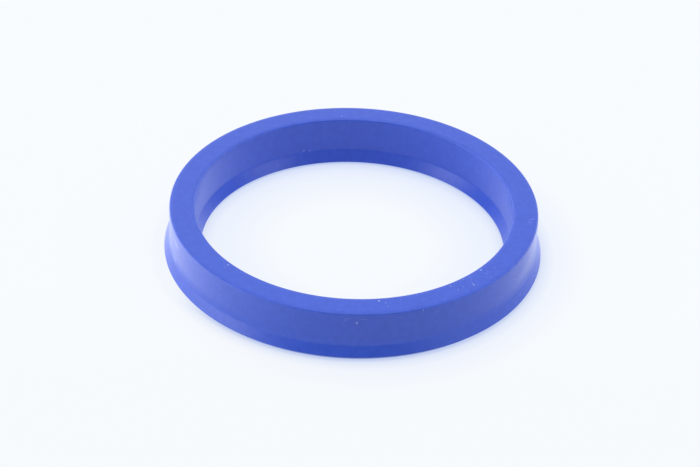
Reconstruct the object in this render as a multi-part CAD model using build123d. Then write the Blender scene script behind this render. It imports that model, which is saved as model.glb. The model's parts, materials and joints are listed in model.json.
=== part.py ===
"""U-cup seal ring for a rod or a piston, moulded in one piece.

Millimetres, +Z up. The ring lies on the tips of its two lips with its solid heel upwards,
and the origin is on its axis at the height of the lip tips.
The whole seal is one section, turned once about the axis.
"""

import os

from build123d import *

os.makedirs("parts", exist_ok=True)

# Heel, the solid end that backs onto the wall of the seal groove
heel_bore_diameter = 60.2      # clears a 60 mm rod
heel_section_width = 4.8       # from bore to outside, for a groove 5 mm deep
seal_height = 9.8              # for a groove 11 mm long
heel_chamfer = 0.25

# Creases, where the straight walls below the heel turn outwards into the lips
outer_crease_height = 3.45     # above the lip tips
inner_crease_height = 2.87     # above the lip tips
outer_crease_radius = 8.0
inner_crease_radius = 1.0

# Lips, trimmed to a sharp sealing edge on each side
outer_lip_overhang = 1.07      # outer sealing edge beyond the heel, radially
inner_lip_overhang = 1.13      # inner sealing edge beyond the heel, radially
sealing_edge_height = 0.85     # above the lip tips
lip_bevel_setback = 0.85       # outer corner of the tip behind the sealing edge, radially
lip_tip_width = 0.7            # flat tip that the ring stands on

# U groove between the lips, open downwards
groove_depth = 5.4
groove_bottom_radius = 0.85

# Radii of the walls, worked out from the sizes above
heel_inner_radius = heel_bore_diameter / 2
heel_outer_radius = heel_inner_radius + heel_section_width
section_middle = (heel_inner_radius + heel_outer_radius) / 2


def wall_corners(side, heel_radius, lip_overhang, crease_height, crease_radius):
    """Corners of one side from lip tip to heel face, each as radius, height and rounding.

    side is +1 for the outside of the ring and -1 for its bore.
    """
    sealing_edge = heel_radius + side * lip_overhang
    tip = sealing_edge - side * lip_bevel_setback
    return [
        (tip, 0, 0),
        (sealing_edge, sealing_edge_height, 0),
        (heel_radius, crease_height, crease_radius),
        (heel_radius, seal_height - heel_chamfer, 0),
        (heel_radius - side * heel_chamfer, seal_height, 0),
    ]


def outline_face(corners):
    """Face whose closed outline rounds each corner by its own radius, 0 for a sharp one."""
    points = [(radius, height) for radius, height, rounding in corners]
    roundings = [rounding for radius, height, rounding in corners]
    return make_face(FilletPolyline(*points, radius=roundings, close=True))


def groove_face(mouth_inner, mouth_outer):
    """U groove: straight walls that close in from the mouth onto a round bottom."""
    bottom = Pos(section_middle, groove_depth - groove_bottom_radius) * Circle(groove_bottom_radius)
    mouth = Line((mouth_inner, 0), (mouth_outer, 0))
    return make_hull([bottom.edge(), mouth.edge()])


# The section lies flat while it is drawn, with X as the radius and Y as the height
outside = wall_corners(
    1, heel_outer_radius, outer_lip_overhang, outer_crease_height, outer_crease_radius
)
bore = wall_corners(
    -1, heel_inner_radius, inner_lip_overhang, inner_crease_height, inner_crease_radius
)
mouth_inner = bore[0][0] + lip_tip_width
mouth_outer = outside[0][0] - lip_tip_width
section = outline_face(outside + bore[::-1]) - groove_face(mouth_inner, mouth_outer)

seal_ring = revolve(Plane.XZ * section, axis=Axis.Z, revolution_arc=360)
seal_ring.label = "seal_ring"

export_step(seal_ring, "parts/seal_ring.step")
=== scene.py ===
# %% [markdown]
# # A blue polyurethane U-cup seal
# A U-cup is a ring with a solid heel and two thin lips. Oil pressure enters the groove
# between the lips and spreads them against the rod and the cylinder wall.
# The imported model is loaded first. It fixes where everything is and how large it is.

# %% Load the frame
import json

import bpy
import numpy as np
from mathutils import Matrix, Vector


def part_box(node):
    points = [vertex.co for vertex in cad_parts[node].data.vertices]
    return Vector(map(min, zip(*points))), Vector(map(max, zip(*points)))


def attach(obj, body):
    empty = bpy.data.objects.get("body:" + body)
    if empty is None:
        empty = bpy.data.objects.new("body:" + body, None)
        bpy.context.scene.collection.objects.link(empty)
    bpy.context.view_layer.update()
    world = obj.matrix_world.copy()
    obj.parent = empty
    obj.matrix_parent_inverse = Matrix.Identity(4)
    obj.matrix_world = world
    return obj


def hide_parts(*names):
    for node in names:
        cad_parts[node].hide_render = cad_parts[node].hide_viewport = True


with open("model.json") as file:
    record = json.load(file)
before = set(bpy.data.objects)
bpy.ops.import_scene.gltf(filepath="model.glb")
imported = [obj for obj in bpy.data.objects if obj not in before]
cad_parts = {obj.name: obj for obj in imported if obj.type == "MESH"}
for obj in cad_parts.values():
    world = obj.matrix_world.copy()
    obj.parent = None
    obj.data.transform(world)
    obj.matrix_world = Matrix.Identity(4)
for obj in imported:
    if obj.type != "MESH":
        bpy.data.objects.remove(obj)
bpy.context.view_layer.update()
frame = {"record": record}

# %% [markdown]
# ## Sizes
# Blender works in metres, and a seal is read in millimetres, so every size is a number
# times mm. The heel's radii come from the mounts in the record and the height from the
# ring's box. The rest are the sizes of the seal's own section, one name for each.

# %% Read the heel from the record
mm = 0.001
mounts = {mount["name"]: mount for mount in frame["record"]["mounts"]}
heel_inner_radius = mounts["heel_bore"]["dims"]["r_mm"] * mm
heel_outer_radius = mounts["heel_outside"]["dims"]["r_mm"] * mm
seal_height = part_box("seal_ring")[1][2]
section_middle = (heel_inner_radius + heel_outer_radius) / 2
print(f"heel radii {heel_inner_radius / mm:.2f} and {heel_outer_radius / mm:.2f} mm")
print(f"{seal_height / mm:.2f} mm high")

# %% [markdown]
# The lips are trimmed to a sealing edge on each side, and below each edge a bevel leads
# back to the narrow flat tip that the ring stands on. A cut rubber edge is nearly sharp,
# but a small rounding lets it catch the light as a real one does.

# %% Name the sizes of the lips and the groove
outer_lip_overhang = 1.07 * mm         # outer sealing edge beyond the heel, radially
inner_lip_overhang = 1.13 * mm         # inner sealing edge beyond the heel, radially
outer_sealing_edge_height = 0.85 * mm  # above the lip tips
inner_sealing_edge_height = 0.45 * mm  # above the lip tips
sealing_edge_rounding = 0.08 * mm
lip_bevel_setback = 0.85 * mm          # corner of the tip behind the sealing edge, radially
lip_tip_width = 0.7 * mm
lip_tip_rounding = 0.06 * mm
groove_depth = 5.4 * mm
groove_bottom_radius = 0.85 * mm
lip_thickness = (heel_outer_radius - heel_inner_radius) / 2 - groove_bottom_radius
print(f"lips {lip_thickness / mm:.2f} mm thick beside the groove's bottom")

# %% [markdown]
# A moulded heel has no hard edge: its face falls away over the last strip and then turns
# round a small radius. The bore is straight down to its crease. The outer wall first
# leans out a little and then bends, so its crease looks softer than the one in the bore.

# %% Name the sizes of the heel's edges and the creases
heel_edge_width = 0.75 * mm      # strip of the face that slopes down, radially
heel_edge_drop = 0.08 * mm       # of that strip, at the corner of the heel
heel_edge_rounding = 0.33 * mm
heel_edge_blend = 1.5 * mm       # rounding where the strip begins
outer_lean_start = 3.9 * mm      # above the lip tips
outer_lean = 0.16 * mm           # outwards, by the height of the crease
outer_lean_radius = 6.0 * mm
outer_crease_height = 2.9 * mm   # above the lip tips
outer_crease_radius = 1.8 * mm
inner_crease_height = 2.8 * mm   # above the lip tips
inner_crease_radius = 1.0 * mm
heel_edge_slope = np.degrees(np.arctan(heel_edge_drop / heel_edge_width))
print(f"the strip along the heel's edge slopes by {heel_edge_slope:.1f} degrees")

# %% [markdown]
# ## The section
# The real ring is moulded, and its mould is turned on a lathe from one section. The
# section could be drawn as a curve and swept, but a curve's bevel gives little say over
# where its points fall. So the outline is a list of corners, each with its own rounding,
# and a function turns each corner into an arc.

# %% Round one corner
def rounded_corner(before, corner, after, rounding, turn_per_point=np.radians(9)):
    """Points of the arc that touches both sides of a corner.

    With half the corner's opening as the half angle, the arc's ends lie
    rounding / tan(half angle) from the corner and its centre rounding / sin(half angle)
    along the bisector. The points between turn evenly from one end's radius to the other's.
    """
    to_before = (before - corner) / np.linalg.norm(before - corner)
    to_after = (after - corner) / np.linalg.norm(after - corner)
    half_angle = np.arccos(to_before @ to_after) / 2
    bisector = (to_before + to_after) / np.linalg.norm(to_before + to_after)
    centre = corner + bisector * rounding / np.sin(half_angle)
    first = corner + to_before * rounding / np.tan(half_angle) - centre
    last = corner + to_after * rounding / np.tan(half_angle) - centre
    turn = np.pi - 2 * half_angle
    share = np.linspace(0, 1, max(4, int(np.ceil(turn / turn_per_point)) + 1))[:, None]
    swing = np.sin((1 - share) * turn) * first + np.sin(share * turn) * last
    return centre + swing / np.sin(turn)


# %% Join the arcs
def closed_outline(corners, stretch_step=0.9 * mm):
    """Arcs of all corners, joined by straight stretches, as one closed run of points.

    Along a stretch the share runs as (1 - cos(pi t)) / 2, so points crowd near its ends
    and the shading of a flat face isn't bent by the arc beside it.
    """
    places = np.array([(radius, height) for radius, height, rounding in corners])
    arcs = [
        rounded_corner(places[i - 1], places[i], places[(i + 1) % len(places)], corner[2])
        for i, corner in enumerate(corners)
    ]
    runs = []
    for arc, following in zip(arcs, arcs[1:] + arcs[:1]):
        gap = np.linalg.norm(following[0] - arc[-1])
        count = max(3, int(round(gap / stretch_step)) + 2)
        share = (1 - np.cos(np.pi * np.linspace(0, 1, count + 2)[1:-1, None])) / 2
        runs += [arc, arc[-1] + share * (following[0] - arc[-1])]
    return np.vstack(runs)


# %% [markdown]
# Both walls have the same corners in the same order, so one function lists them, with
# side as +1 for the outside of the ring and -1 for its bore. Each crease is given by how
# far it stands off the heel's wall, its height and its rounding.

# %% List the corners of a wall
def wall_corners(side, heel_radius, lip_overhang, edge_height, creases):
    """Corners from lip tip to heel face, each as radius, height and rounding.

    A corner's radius is the heel's radius plus side times how far it stands off the wall.
    """
    sealing_edge = heel_radius + side * lip_overhang
    tip = sealing_edge - side * lip_bevel_setback
    return [
        (tip, 0, lip_tip_rounding),
        (sealing_edge, edge_height, sealing_edge_rounding),
        *[(heel_radius + side * offset, height, bend) for offset, height, bend in creases],
        (heel_radius, seal_height - heel_edge_drop, heel_edge_rounding),
        (heel_radius - side * heel_edge_width, seal_height, heel_edge_blend),
    ]


outer_creases = [
    (outer_lean, outer_crease_height, outer_crease_radius),
    (0, outer_lean_start, outer_lean_radius),
]
inner_creases = [(0, inner_crease_height, inner_crease_radius)]
outside = wall_corners(
    1, heel_outer_radius, outer_lip_overhang, outer_sealing_edge_height, outer_creases
)
bore = wall_corners(
    -1, heel_inner_radius, inner_lip_overhang, inner_sealing_edge_height, inner_creases
)
print(f"{len(outside)} corners outside, {len(bore)} in the bore")

# %% [markdown]
# The groove narrows from its mouth to a round bottom. Its walls touch the bottom's
# circle, so there is no edge where a lip could start to tear.

# %% List the corners of the groove
bottom_rounding_share = 0.999  # of the full circle, so that the bottom's two arcs stay apart


def groove_corners(mouth_radius):
    """Mouth and bottom corner of one groove wall.

    The wall is the tangent from the mouth to the circle of the groove's bottom: it turns
    from the line to the circle's centre by the angle whose sine is bottom radius / distance.
    """
    side = np.sign(mouth_radius - section_middle)
    across = section_middle - mouth_radius
    up = groove_depth - groove_bottom_radius
    to_centre = np.arctan2(up, across)
    lean = to_centre - side * np.arcsin(groove_bottom_radius / np.hypot(across, up))
    bottom = mouth_radius + groove_depth / np.tan(lean)
    return [
        (mouth_radius, 0, lip_tip_rounding),
        (bottom, groove_depth, groove_bottom_radius * bottom_rounding_share),
    ]


groove_outer = groove_corners(outside[0][0] - lip_tip_width)
groove_inner = groove_corners(bore[0][0] + lip_tip_width)
groove_mouth = groove_outer[0][0] - groove_inner[0][0]
print(f"groove {groove_mouth / mm:.2f} mm wide at its mouth")

# %% Close the section
section = closed_outline(outside + bore[::-1] + groove_inner + groove_outer[::-1])
smallest, largest = section[:, 0].min() / mm, section[:, 0].max() / mm
print(f"section: {len(section)} points, radius {smallest:.2f} to {largest:.2f} mm")

# %% [markdown]
# ## The ring
# The section is carried once round the axis. As a grid of section points by turns, the
# whole ring is one array, closed both ways, with no pole and no seam in its surface.

# %% Turn the section into a mesh
def revolved_mesh(name, outline, turns):
    """Ring whose points are (r cos a, r sin a, h) for each outline point (r, h) and angle a."""
    angle = np.linspace(0, 2 * np.pi, turns, endpoint=False)[:, None]
    radius, height = outline[:, 0], outline[:, 1]
    points = np.stack(
        [radius * np.cos(angle), radius * np.sin(angle), height + 0 * angle], axis=-1
    ).reshape(-1, 3)
    count = len(outline)
    turn, step = np.meshgrid(np.arange(turns), np.arange(count), indexing="ij")
    next_turn, next_step = (turn + 1) % turns, (step + 1) % count
    faces = np.stack(
        [turn * count + step, next_turn * count + step,
         next_turn * count + next_step, turn * count + next_step], axis=-1
    ).reshape(-1, 4)
    mesh = bpy.data.meshes.new(name)
    mesh.from_pydata(points.tolist(), [], faces.tolist())
    mesh.polygons.foreach_set("use_smooth", np.ones(len(faces), dtype=bool))
    mesh.update()
    return mesh


def placed(name, mesh, material):
    """Object that shows a mesh where the mesh already is."""
    mesh.materials.append(material)
    piece = bpy.data.objects.new(name, mesh)
    bpy.context.collection.objects.link(piece)
    return piece


ring_mesh = revolved_mesh("seal_ring_surface", section, turns=420)
print(f"ring: {len(ring_mesh.polygons) * 2} triangles")

# %% [markdown]
# ## Node helpers
# Materials here are networks of small formulas, and a few helpers keep them readable.
# One adds a node and sets or links its inputs. The others are short for the nodes that
# come up most: a Math node, a smooth step between two values, and a mix of two colours.

# %% Add and link nodes
def add_node(tree, kind, inputs=(), **settings):
    """New node with its settings; inputs maps a socket's name or number to a value or socket."""
    node = tree.nodes.new(kind)
    for setting, value in settings.items():
        setattr(node, setting, value)
    for socket, value in dict(inputs).items():
        if isinstance(value, bpy.types.NodeSocket):
            tree.links.new(value, node.inputs[socket])
        else:
            node.inputs[socket].default_value = value
    return node


def math(tree, operation, *values):
    """Result of one Math node."""
    node = add_node(tree, "ShaderNodeMath", dict(enumerate(values)), operation=operation)
    return node.outputs[0]


def smooth_range(tree, value, start, end, low=0.0, high=1.0):
    """Low before start, high after end, with a smooth step between."""
    inputs = {"Value": value, "From Min": start, "From Max": end, "To Min": low, "To Max": high}
    node = add_node(tree, "ShaderNodeMapRange", inputs, interpolation_type="SMOOTHSTEP")
    return node.outputs["Result"]


def mix_colour(tree, share, first, second):
    """First colour at a share of 0, second at 1, and an even mix between."""
    inputs = {"Factor": share, 6: first, 7: second}
    return add_node(tree, "ShaderNodeMix", inputs, data_type="RGBA").outputs[2]


# %% Start a node group
def new_group(name, inputs, outputs):
    """Empty shader node group, with its input and output nodes; sockets are (name, type)."""
    group = bpy.data.node_groups.new(name, "ShaderNodeTree")
    for socket_name, kind in inputs:
        group.interface.new_socket(socket_name, in_out="INPUT", socket_type=kind)
    for socket_name, kind in outputs:
        group.interface.new_socket(socket_name, in_out="OUTPUT", socket_type=kind)
    return group, group.nodes.new("NodeGroupInput"), group.nodes.new("NodeGroupOutput")


# %% [markdown]
# ## Marks on the surface
# A seal that has been handled carries specks of dust and a few short scratches on the heel.
# The faint lighter streaks on the walls are painted sheen: they stand in for reflections
# that small ripples in the walls catch. Each could be a tiny mesh, but they have no height
# to speak of, so each is an oval mask instead: one on the mark's centre line, fading to zero
# at its rim. A long, thin oval is a scratch and a short one is a speck.

# %% Build the mark group
oval_rim = 1.5   # where the mask is zero, as the squared reach from the oval's centre
oval_core = 0.2  # where the mask is full


def mark_group():
    """Mask of an oval: along and across distances over the half sizes, squared and summed."""
    group, given, result = new_group(
        "oval_mark",
        [("Place", "NodeSocketVector"), ("Centre", "NodeSocketVector"),
         ("Along", "NodeSocketVector"), ("Half Length", "NodeSocketFloat"),
         ("Half Width", "NodeSocketFloat"), ("Strength", "NodeSocketFloat")],
        [("Mask", "NodeSocketFloat")],
    )
    given = given.outputs

    def vector(operation, *values, output=0):
        inputs = dict(enumerate(values))
        node = add_node(group, "ShaderNodeVectorMath", inputs, operation=operation)
        return node.outputs[output]

    def squared(value):
        return math(group, "POWER", value, 2.0)

    offset = vector("SUBTRACT", given["Place"], given["Centre"])
    along = vector("DOT_PRODUCT", offset, given["Along"], output="Value")
    away = vector("LENGTH", offset, output="Value")
    across_squared = math(group, "SUBTRACT", squared(away), squared(along))
    along_share = squared(math(group, "DIVIDE", along, given["Half Length"]))
    across_share = math(group, "DIVIDE", across_squared, squared(given["Half Width"]))
    reach = math(group, "ADD", along_share, across_share)
    oval = smooth_range(group, reach, oval_rim, oval_core)
    mask = math(group, "MULTIPLY", oval, given["Strength"])
    group.links.new(mask, result.inputs["Mask"])
    return group


oval_mark = mark_group()
print(f"{oval_mark.name}: {len(oval_mark.nodes)} nodes")

# %% [markdown]
# A mark is placed as an inspector would note it down: on the heel by its angle and radius,
# and on a wall by its angle and height. Angles are in degrees from +X, and the other
# numbers in millimetres.

# %% Find places on the ring
def on_heel(angle, radius):
    """Point (r cos a, r sin a) on the heel's face."""
    turn = np.radians(angle)
    return np.array([radius * mm * np.cos(turn), radius * mm * np.sin(turn), seal_height])


def on_wall(angle, height, wall_radius=heel_outer_radius):
    """Point (r cos a, r sin a) on a wall, at a height above the lip tips."""
    turn = np.radians(angle)
    return np.array([wall_radius * np.cos(turn), wall_radius * np.sin(turn), height * mm])


def speck(place, half_size, strength=0.75):
    """Round mark as centre, direction, half length, half width and strength."""
    return (place, np.array([1.0, 0.0, 0.0]), half_size * mm, half_size * mm, strength)


def stroke(start, end, half_width, strength):
    """Long mark between two places: the centre is their mean, the direction their difference."""
    length = np.linalg.norm(end - start)
    return ((start + end) / 2, (end - start) / length, length / 2, half_width * mm, strength)


# %% Name the specks of dust
heel_specks = [
    speck(on_heel(-80.6, 31.1), 0.19), speck(on_heel(-78.5, 31.8), 0.13, 0.5),
    speck(on_heel(-78.3, 32.9), 0.12, 0.5), speck(on_heel(-73.4, 31.4), 0.12, 0.25),
    speck(on_heel(-65.6, 32.6), 0.12, 0.25), speck(on_heel(-54.7, 31.1), 0.16, 0.4),
    speck(on_heel(-53.8, 32.7), 0.16, 0.4), speck(on_heel(-51.6, 32.5), 0.14, 0.25),
    speck(on_heel(-48.9, 30.8), 0.12, 0.35), speck(on_heel(-48.2, 33.2), 0.18, 0.6),
    speck(on_heel(-46.1, 31.1), 0.12, 0.3), speck(on_heel(-40.4, 30.9), 0.19),
    speck(on_heel(-40.6, 32.3), 0.12, 0.3), speck(on_heel(-40.9, 33.5), 0.12, 0.3),
    speck(on_heel(95.6, 31.5), 0.15, 0.6), speck(on_heel(-136.4, 31.0), 0.2, 0.5),
    speck(on_heel(-136.0, 31.9), 0.16, 0.25), speck(on_heel(-36.3, 32.4), 0.12, 0.3),
]
wall_specks = [
    speck(on_wall(-68.1, 9.35), 0.14, 0.5),
    speck(on_wall(-87.9, 7.85), 0.2, 0.6),
    speck(on_wall(-91.4, 8.4), 0.12, 0.4),
    speck(on_wall(110.4, 3.2, heel_inner_radius), 0.16, 0.5),
    speck(on_wall(108.0, 3.0, heel_inner_radius), 0.14, 0.4),
]
print(f"{len(heel_specks)} specks on the heel, {len(wall_specks)} on the walls")

# %% Name the scratches and the painted sheen streaks
heel_scratches = [
    stroke(on_heel(-47.7, 32.2), on_heel(-48.0, 33.1), 0.12, 0.22),
    stroke(on_heel(-5.2, 33.1), on_heel(-4.7, 34.4), 0.07, 0.45),
    stroke(on_heel(-6.0, 32.9), on_heel(-5.6, 33.7), 0.06, 0.25),
    stroke(on_heel(-7.2, 33.0), on_heel(-6.9, 33.95), 0.08, 0.35),
    stroke(on_heel(5.2, 32.8), on_heel(5.2, 33.4), 0.06, 0.2),
    stroke(on_heel(3.1, 32.1), on_heel(3.1, 32.7), 0.06, 0.2),
]
wall_scratches = [
    stroke(on_wall(-91.8, 8.75), on_wall(-89.6, 8.75), 0.08, 0.14),
    stroke(on_wall(-87.0, 8.7), on_wall(-84.8, 8.65), 0.08, 0.15),
    stroke(on_wall(-75.8, 8.6), on_wall(-74.2, 8.5), 0.08, 0.13),
    stroke(on_wall(-64.2, 8.45), on_wall(-62.8, 8.35), 0.08, 0.13),
    stroke(on_wall(-31.9, 6.78), on_wall(-29.1, 5.76), 0.07, 0.2),
]
# Painted sheen: lighter streaks standing in for reflections on the outer wall, three on the left
# and one broad patch at the front right.
painted_sheen_streaks = [
    stroke(on_wall(-171.0, 6.8), on_wall(-165.5, 3.9), 0.5, 0.34),
    stroke(on_wall(-163.0, 7.8), on_wall(-157.0, 7.2), 0.6, 0.26),
    stroke(on_wall(-164.0, 3.9), on_wall(-159.0, 3.4), 0.4, 0.2),
    stroke(on_wall(-8.0, 6.6), on_wall(-29.0, 5.2), 1.5, 0.1),
]
all_marks = heel_specks + wall_specks + heel_scratches + wall_scratches + painted_sheen_streaks
print(f"{len(heel_scratches)} scratches on the heel, {len(wall_scratches)} on the walls")
print(f"{len(painted_sheen_streaks)} wiped streaks, {len(all_marks)} marks in all")


# %% Join marks into one mask
def marks_mask(tree, place, marks):
    """Largest of the marks' own masks, so that marks that cross don't add up."""
    mask = 0.0
    for centre, along, half_length, half_width, strength in marks:
        inputs = {"Place": place, "Centre": tuple(centre), "Along": tuple(along),
                  "Half Length": half_length, "Half Width": half_width, "Strength": strength}
        mark = add_node(tree, "ShaderNodeGroup", inputs, node_tree=oval_mark)
        mask = math(tree, "MAXIMUM", mask, mark.outputs["Mask"])
    return mask


# %% [markdown]
# ## Fine dust
# Between the single specks lies dust too fine to place one by one, thickest on one stretch of
# the heel. Points could be scattered as tiny meshes, but a Voronoi texture does it with no
# geometry: it puts one point in each cell of space, and a dot is drawn round the points of
# a share of the cells.

# %% Scatter fine dust
dot_rim = 0.26   # where the dot's mask is zero, in cell widths from the cell's point
dot_core = 0.08  # where the mask is full


def fine_dust_group():
    """Dots where a cell's point is near and the cell's random number is under the share."""
    group, given, result = new_group(
        "fine_dust",
        [("Place", "NodeSocketVector"), ("Cells per Metre", "NodeSocketFloat"),
         ("Share", "NodeSocketFloat")],
        [("Mask", "NodeSocketFloat")],
    )
    cells = add_node(group, "ShaderNodeTexVoronoi", {
        "Vector": given.outputs["Place"], "Scale": given.outputs["Cells per Metre"],
        "Randomness": 1.0}).outputs
    dot = smooth_range(group, cells["Distance"], dot_rim, dot_core)
    number = add_node(group, "ShaderNodeSeparateColor", {0: cells["Color"]}).outputs[0]
    chosen = math(group, "LESS_THAN", number, given.outputs["Share"])
    group.links.new(math(group, "MULTIPLY", dot, chosen), result.inputs["Mask"])
    return group


fine_dust = fine_dust_group()
print(f"{fine_dust.name}: {len(fine_dust.nodes)} nodes")

# %% [markdown]
# ## Grain
# The rubber copies its mould: a fine grain everywhere, and faint rings round the walls from
# the lathe. The rings are noise that changes only with height, so each one runs all the way
# round. Real relief this shallow would need millions of faces, so the grain only bends the
# normal.

# %% Raise the grain
grain_share = 0.6
grain_per_metre = 3500.0
rings_per_metre = 2200.0


def grain_group():
    """Height of the surface: grain share of the fine noise and the rest of the rings."""
    group, given, result = new_group(
        "moulded_grain", [("Place", "NodeSocketVector")], [("Height", "NodeSocketFloat")])
    place = given.outputs["Place"]
    grain = add_node(group, "ShaderNodeTexNoise", {
        "Vector": place, "Scale": grain_per_metre, "Detail": 1.0}).outputs[0]
    level = add_node(group, "ShaderNodeSeparateXYZ", {0: place}).outputs["Z"]
    rings = add_node(group, "ShaderNodeTexNoise", {
        "W": level, "Scale": rings_per_metre, "Detail": 2.0}, noise_dimensions="1D").outputs[0]
    grain = math(group, "MULTIPLY", grain, grain_share)
    rings = math(group, "MULTIPLY", rings, 1 - grain_share)
    group.links.new(math(group, "ADD", grain, rings), result.inputs["Height"])
    return group


moulded_grain = grain_group()
print(f"{moulded_grain.name}: {len(moulded_grain.nodes)} nodes")

# %% [markdown]
# ## Polyurethane
# The seal is a dense, satin rubber coloured right through, so most of its look is its own
# blue and a soft reflection of the room. Cast rubber is never quite even, so the blue
# drifts between two close shades in clouds about a millimetre wide. The marks and the
# dust lighten it where they lie, and the streaks among the marks are painted sheen.

# %% Name the rubber's colours and finish
blue = (0.032, 0.089, 0.597, 1)
cloudy_blue = (0.036, 0.098, 0.628, 1)
clouds_per_metre = 800.0
cloud_edge = (0.35, 0.65)
rubber_roughness = 0.28
rubber_ior = 1.5
grain_strength = 0.05
grain_depth = 0.05 * mm

# Colour of the dust, also used for the painted sheen streaks on the walls.
dust_and_sheen_colour = (0.42, 0.5, 0.86, 1)
dust_cells_per_metre = 2600.0
dusty_stretch = stroke(on_heel(-59, 32.6), on_heel(-35, 32.6), 2.6, 1.0)
dust_share_all_over = 0.03
dust_share_at_thickest = 0.5
fine_dust_strength = 0.3
print(f"dust fills {dust_share_all_over:.0%} to {dust_share_at_thickest:.0%} of its cells")


# %% Mix the polyurethane
def dust_and_sheen_mask(tree, place):
    """Larger of the marks, painted sheen streaks among them, and the fine dust, which is thicker
    near the dusty stretch.
    """
    dusty = marks_mask(tree, place, [dusty_stretch])
    share = smooth_range(tree, dusty, 0.0, 1.0, dust_share_all_over, dust_share_at_thickest)
    dust = add_node(tree, "ShaderNodeGroup", {
        "Place": place, "Cells per Metre": dust_cells_per_metre, "Share": share},
        node_tree=fine_dust).outputs["Mask"]
    dust = math(tree, "MULTIPLY", dust, fine_dust_strength)
    return math(tree, "MAXIMUM", marks_mask(tree, place, all_marks), dust)


def polyurethane():
    """Satin coloured rubber with dust, scratches, painted sheen streaks and a fine moulded
    grain.
    """
    material = bpy.data.materials.new("blue_polyurethane")
    material.use_nodes = True
    tree = material.node_tree
    surface = tree.nodes["Principled BSDF"]
    place = add_node(tree, "ShaderNodeTexCoord").outputs["Object"]

    clouds = add_node(tree, "ShaderNodeTexNoise", {
        "Vector": place, "Scale": clouds_per_metre, "Detail": 2.0}).outputs[0]
    rubber = mix_colour(tree, smooth_range(tree, clouds, *cloud_edge), blue, cloudy_blue)
    # Dust, scratches and painted sheen streaks lighten the blue toward one colour.
    colour = mix_colour(tree, dust_and_sheen_mask(tree, place), rubber, dust_and_sheen_colour)
    tree.links.new(colour, surface.inputs["Base Color"])

    grain = add_node(tree, "ShaderNodeGroup", {"Place": place}, node_tree=moulded_grain)
    bump = add_node(tree, "ShaderNodeBump", {
        "Strength": grain_strength, "Distance": grain_depth, "Height": grain.outputs["Height"]})
    tree.links.new(bump.outputs["Normal"], surface.inputs["Normal"])
    surface.inputs["Roughness"].default_value = rubber_roughness
    surface.inputs["IOR"].default_value = rubber_ior
    return material


# %% Dress the ring
ring = placed("seal_ring_surface", ring_mesh, polyurethane())
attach(ring, "root")
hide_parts("seal_ring")
print(f"{ring.name}: {len(ring.active_material.node_tree.nodes)} nodes in its material")

# %% [markdown]
# ## Light by place
# A satin ring shows what lies around it, so the table and the room are brighter in some
# places than in others. Both are written in the same way: each light has a level and a
# few soft steps that say where it shines. A step names what is measured, where it starts
# and where it ends, and it may start from a share above zero.

# %% Multiply the steps and add the lights
def product_of_steps(tree, measures, steps, level=1.0):
    """Level times one smooth step for each of steps; measures maps a name to value and unit."""
    result = level
    for name, start, end, *low in steps:
        value, unit = measures[name]
        step = smooth_range(tree, value, start * unit, end * unit, *low)
        result = math(tree, "MULTIPLY", result, step)
    return result


def sum_of_lights(tree, measures, base, lights):
    """Base level plus each light's level times its steps."""
    total = base
    for level, steps in lights.values():
        total = math(tree, "ADD", total, product_of_steps(tree, measures, steps, level))
    return total


# %% [markdown]
# ## Floor
# The seal lies on a white table that shows only a faint shadow close under the lips. Lit
# by lamps alone, such a table turns grey or burns out, so it has two sides. To the camera
# and to mirrored rays it is mostly its own plain white, and light that bounces off it
# meets plain paper, which is greyer in front, where the room is dark: a painted shade.

# %% Name the floor's colours
floor_half_width = 3.0
floor_white = (0.94, 0.968, 1.0, 1)
paper_white = (0.82, 0.84, 0.86, 1)
# Painted shade: the paper in front of the ring is greyer, as it lies in shade there.
paper_in_painted_shade = (0.65, 0.63, 0.61, 1)
own_white_share = 0.95
shaded_front = [("away", -15, -45)]
print(f"table {2 * floor_half_width:.0f} m wide, {own_white_share:.0%} of it its own white")

# %% [markdown]
# Light that has met the rubber tints the table blue, inside the ring more at the back and
# outside it more on the right. Close under the lips lies a deeper shade, which Ambient
# Occlusion finds by how covered a place is. The window washes it out on the left.
# Distances are in millimetres: along is X, away is Y, and radius is from the ring's axis.

# %% Name the tints round the ring
bounced_white = (0.77, 0.835, 1.0, 1)
tints = {
    "in the bore": (0.45, [("radius", 13, 25), ("radius", 33, 31)]),
    "at the back of the bore": (0.5, [("radius", 23, 29), ("radius", 33, 31), ("away", 0, 25)]),
    "beside": (0.5, [("radius", 46, 35), ("radius", 31, 33), ("along", -30, 20, 0.1)]),
}
contact_shade = (0.44, 0.54, 0.86, 1)
contact_reach = 3 * mm
washed_out = 0.95
washed_out_on_the_left = [("along", -20, -34)]
print("tints:", ", ".join(tints))

# %% [markdown]
# The straight walls are seen from above, so they mirror the table beside them. The windows
# light it on the left and, less, on the right, which gives the walls their glare.

# %% Name the floor's brightness in mirrored rays
mirrored_level = 1.15
mirrored_lights = {
    "left": (0.62, [("along", -5, -40), ("away", 8, -24, 0.65)]),
    "far left": (0.8, [("along", -42, -65)]),
    "right": (0.58, [("along", 20, 45), ("away", -8, 8)]),
}
print("mirrored lights:", ", ".join(mirrored_lights))


# %% Mix the floor's material
def floor_glow(tree, measures, camera_ray):
    """Floor's own white, tinted by the ring, and brighter by place in mirrored rays."""
    tint = sum_of_lights(tree, measures, 0.0, tints)
    white = mix_colour(tree, tint, floor_white, bounced_white)
    uncovered = add_node(
        tree, "ShaderNodeAmbientOcclusion", {"Distance": contact_reach}, samples=16
    ).outputs["AO"]
    washed = product_of_steps(tree, measures, washed_out_on_the_left, washed_out)
    open_air = math(tree, "MAXIMUM", uncovered, washed)
    white = mix_colour(tree, open_air, contact_shade, white)
    mirrored = sum_of_lights(tree, measures, mirrored_level, mirrored_lights)
    strength = add_node(tree, "ShaderNodeMix", {"Factor": camera_ray, "A": mirrored, "B": 1.0})
    return add_node(tree, "ShaderNodeEmission", {
        "Color": white, "Strength": strength.outputs["Result"]}).outputs[0]


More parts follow.
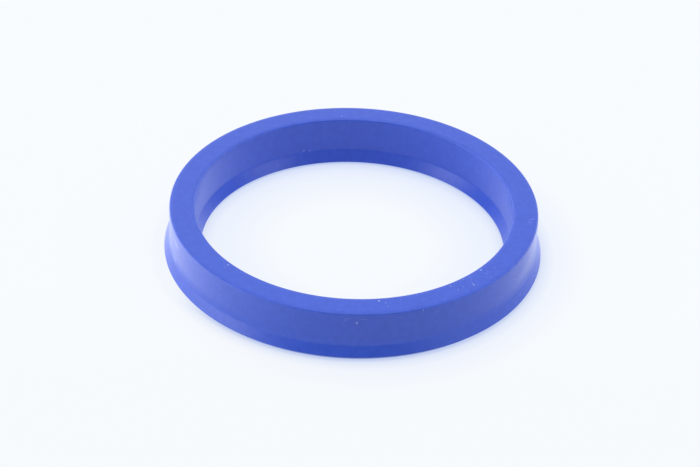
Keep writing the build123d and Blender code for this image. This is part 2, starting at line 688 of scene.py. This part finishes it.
def floor_material():
    """Glow where the floor is seen or mirrored, and plain paper to all other light."""
    material = bpy.data.materials.new("white_table")
    material.use_nodes = True
    tree = material.node_tree
    tree.nodes.remove(tree.nodes["Principled BSDF"])
    place = add_node(tree, "ShaderNodeTexCoord").outputs["Object"]
    part = add_node(tree, "ShaderNodeSeparateXYZ", {0: place}).outputs
    radius = add_node(tree, "ShaderNodeVectorMath", {0: place}, operation="LENGTH")
    measures = {"along": (part["X"], mm), "away": (part["Y"], mm),
                "radius": (radius.outputs["Value"], mm)}
    paths = add_node(tree, "ShaderNodeLightPath").outputs
    camera_ray = paths["Is Camera Ray"]

    # Painted shade: the paper turns greyer in front of the ring.
    in_front = product_of_steps(tree, measures, shaded_front)
    paper = mix_colour(tree, in_front, paper_white, paper_in_painted_shade)
    paper = add_node(tree, "ShaderNodeBsdfDiffuse", {"Color": paper}).outputs[0]
    seen = math(tree, "MAXIMUM", camera_ray, paths["Is Glossy Ray"])
    seen = math(tree, "MAXIMUM", seen, paths["Is Transmission Ray"])
    share = math(tree, "MULTIPLY", seen, own_white_share)
    glow = floor_glow(tree, measures, camera_ray)
    mix = add_node(tree, "ShaderNodeMixShader", {"Fac": share, 1: paper, 2: glow})
    tree.links.new(mix.outputs[0], tree.nodes["Material Output"].inputs["Surface"])
    return material


# %% Lay the floor
floor_corners = floor_half_width * np.array([(-1, -1, 0), (1, -1, 0), (1, 1, 0), (-1, 1, 0)])
floor_mesh = bpy.data.meshes.new("table")
floor_mesh.from_pydata(floor_corners.tolist(), [], [(0, 1, 2, 3)])
floor = placed("table", floor_mesh, floor_material())
print(f"{floor.name}: {len(floor.active_material.node_tree.nodes)} nodes in its material")

# %% [markdown]
# ## Light
# A product like this is lit from all round by white cloth, with the dark of the room left
# only where the camera stands. That dark gap is what draws the lip: the flared band mirrors
# it. Lamps could do this, but a room built in the world has soft edges that are easy to
# place. In each step, right is the direction's X and back its Y, sideways is its X
# without the sign, up is the height in degrees, and turn is in degrees from the front,
# with the left side below zero.

# %% Name the lights of the room
room_white = (0.96, 0.967, 0.945, 1)
room_level = 0.58
room_lights = {
    "left window": (3.15, [("right", -0.7, -1.0), ("up", 50, 20)]),
    "right window": (2.6, [("right", 0.6, 0.95), ("up", 6, 14), ("up", 35, 25)]),
    "back cloth": (0.33, [("back", 0.1, 0.7)]),
    "back cloth on the left": (0.16, [("back", 0.1, 0.7), ("right", 0.12, -0.12)]),
    "back corners": (1.0, [("sideways", 0.2, 0.45), ("up", 42, 25), ("back", 0.3, 0.7)]),
    "overhead cloth": (2.0, [("up", 60, 85)]),
    "front left cloth": (
        1.05, [("turn", -98, -65), ("up", 6, 14), ("up", 68, 45), ("turn", -36, -60)]),
}
dark_gap = [("turn", -37.865, -32.135), ("turn", 53.189, 18.811), ("up", 19, 9)]
print("room lights:", ", ".join(room_lights))


# %% Light the room
def light_room():
    """World that is plain white to the camera, and to everything else the room with its gap.

    Its strength is the sum of the lights times one minus the product of the gap's steps.
    """
    world = bpy.data.worlds.new("light_room")
    bpy.context.scene.world = world
    world.use_nodes = True
    tree = world.node_tree
    tree.nodes.clear()
    direction = add_node(tree, "ShaderNodeTexCoord").outputs["Generated"]
    part = add_node(tree, "ShaderNodeSeparateXYZ", {0: direction}).outputs
    front = math(tree, "MULTIPLY", part["Y"], -1.0)
    degree = np.radians(1)
    measures = {
        "right": (part["X"], 1),
        "back": (part["Y"], 1),
        "sideways": (math(tree, "ABSOLUTE", part["X"]), 1),
        "up": (math(tree, "ARCSINE", part["Z"]), degree),
        "turn": (math(tree, "ARCTAN2", part["X"], front), degree),
    }
    level = sum_of_lights(tree, measures, room_level, room_lights)
    gap = product_of_steps(tree, measures, dark_gap)
    strength = math(tree, "MULTIPLY", level, math(tree, "SUBTRACT", 1.0, gap))

    room = add_node(tree, "ShaderNodeBackground", {"Color": room_white, "Strength": strength})
    plain = add_node(tree, "ShaderNodeBackground", {"Color": floor_white, "Strength": 1.0})
    camera_ray = add_node(tree, "ShaderNodeLightPath").outputs["Is Camera Ray"]
    mix = add_node(tree, "ShaderNodeMixShader", {
        "Fac": camera_ray, 1: room.outputs[0], 2: plain.outputs[0]})
    output = add_node(tree, "ShaderNodeOutputWorld")
    tree.links.new(mix.outputs[0], output.inputs["Surface"])
    return world


world = light_room()
bpy.context.scene.view_settings.view_transform = "Standard"
print(f"{world.name}: {len(world.node_tree.nodes)} nodes")

# %% [markdown]
# ## Camera
# A long lens from a little above the table, turned slightly about its own axis, as a camera
# held by hand is. It is placed by direction and distance from the ring's axis and then aimed
# at a point on the table.

# %% Set the camera
camera_lens = 118.05
camera_distance = 440 * mm
camera_elevation = np.radians(35.0)
camera_roll = np.radians(2.07)
camera_aim = Vector((-0.58 * mm, 4.24 * mm, 0))

camera_data = bpy.data.cameras.new("camera")
camera_data.lens = camera_lens
camera = bpy.data.objects.new("camera", camera_data)
bpy.context.collection.objects.link(camera)
back_off = -camera_distance * np.cos(camera_elevation)
stand = Vector((0, back_off, camera_distance * np.sin(camera_elevation)))
facing = (camera_aim - stand).to_track_quat("-Z", "Y").to_matrix().to_4x4()
camera.matrix_world = Matrix.Translation(stand) @ facing @ Matrix.Rotation(camera_roll, 4, "Z")
bpy.context.scene.camera = camera
print("camera at", [round(value / mm, 1) for value in stand], "mm")

# %% [markdown]
# ## Finish
# The finished ring's box should agree with that of the imported model to a few hundredths
# of a millimetre, because the ring's rounded edges lie just inside the sharp ones.
